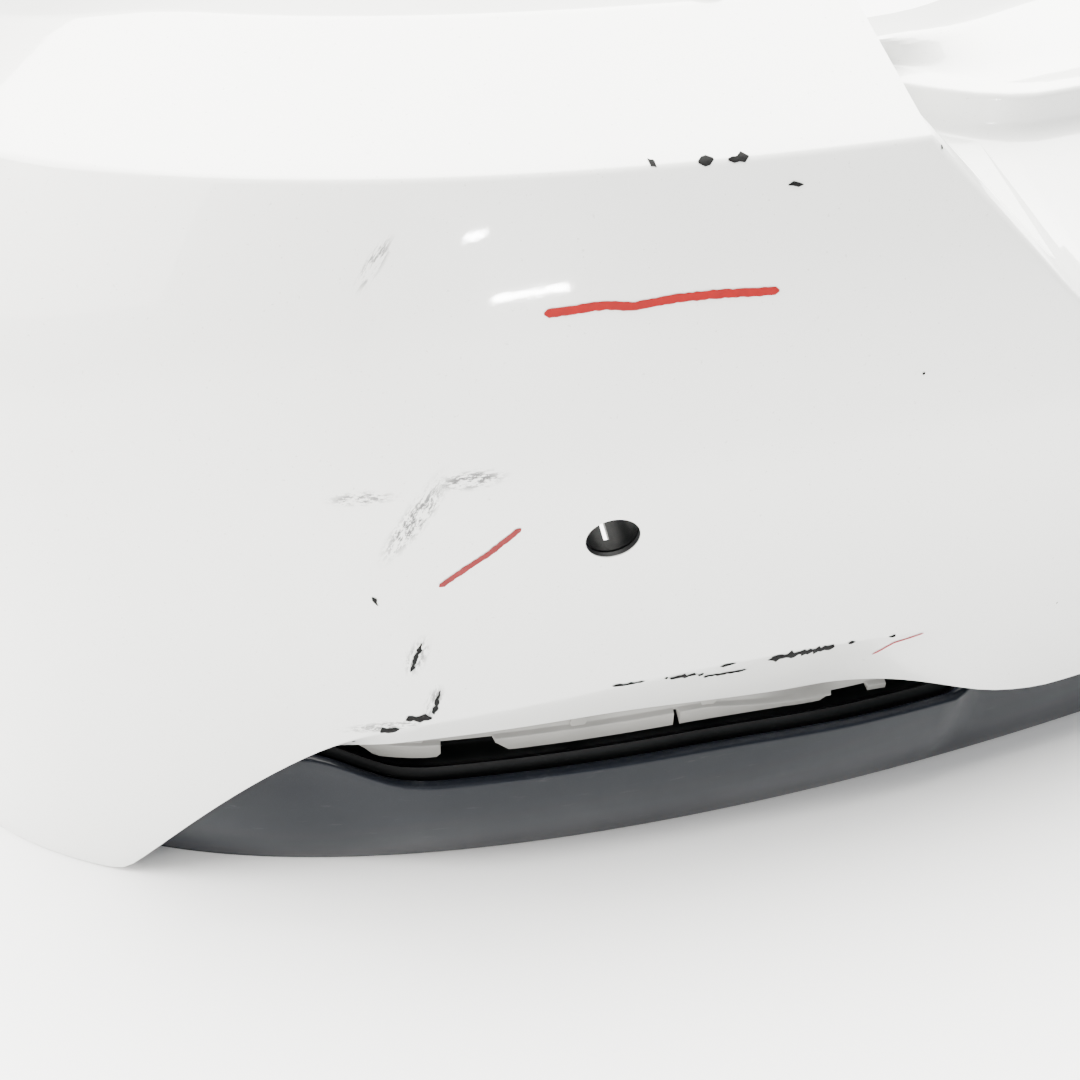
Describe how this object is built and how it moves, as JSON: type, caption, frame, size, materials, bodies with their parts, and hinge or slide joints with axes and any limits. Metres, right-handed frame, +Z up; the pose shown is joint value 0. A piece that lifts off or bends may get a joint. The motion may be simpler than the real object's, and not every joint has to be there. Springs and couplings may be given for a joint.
{
  "type": "rear bumper cover",
  "caption": "Rear bumper cover for a car: white painted skin with a tailgate recess, grey lower valance, parking sensor holders, brackets, clips and a hinged towing eye cover.",
  "frame": {"origin": "on the ground plane, under the middle of the cover's bounding box", "axes": "+X towards the car's right-hand side, -Y towards the rear of the car (the cover's outer face), +Z up"},
  "size_m": [1.7698, 0.5821, 0.4502],
  "materials": {
    "white_paint": "clear-coated white paint on moulded plastic",
    "grey_gloss": "graphite grey lacquer",
    "natural_plastic": "unpainted off-white plastic",
    "black_plastic": "fine-grained black plastic",
    "steel": "zinc-plated steel"
  },
  "bodies": {
    "cover": {"bumper_skin": "white_paint", "lower_valance": "grey_gloss", "lower_carrier": "black_plastic", "clip_rail_left": "natural_plastic", "clip_rail_right": "natural_plastic", "sensor_holder_outer_left": "black_plastic", "sensor_holder_inner_left": "black_plastic", "sensor_holder_inner_right": "black_plastic", "sensor_holder_outer_right": "black_plastic", "side_guide_left": "black_plastic", "side_guide_right": "black_plastic", "lamp_bracket_left": "black_plastic", "lamp_bracket_right": "black_plastic", "arch_bracket_left": "black_plastic", "arch_bracket_right": "black_plastic", "sill_rail": "black_plastic", "sill_screws": "steel", "arch_nuts": "steel", "valance_screws": "steel", "carrier_screws": "steel", "guide_screws": "steel", "push_rivet_sleeves": "black_plastic", "tow_socket": "black_plastic", "tow_pin": "steel"},
    "tow_flap": {"tow_cover": "white_paint"},
    "pin_left": {"push_pin_left": "black_plastic"},
    "pin_right": {"push_pin_right": "black_plastic"}
  },
  "joints": [
    {"name": "tow_cover_hinge", "type": "hinge", "parent": "cover", "child": "tow_flap", "pos_m": [0.37294, -0.2545, 0.20599], "axis": [-0.0227, 0.1635, -0.9863], "range_deg": [0, 90]},
    {"name": "push_pin_left_slide", "type": "slide", "parent": "cover", "child": "pin_left", "axis": [0, 0, 1], "range_m": [0, 0.006]},
    {"name": "push_pin_right_slide", "type": "slide", "parent": "cover", "child": "pin_right", "axis": [0, 0, 1], "range_m": [0, 0.006]}
  ]
}
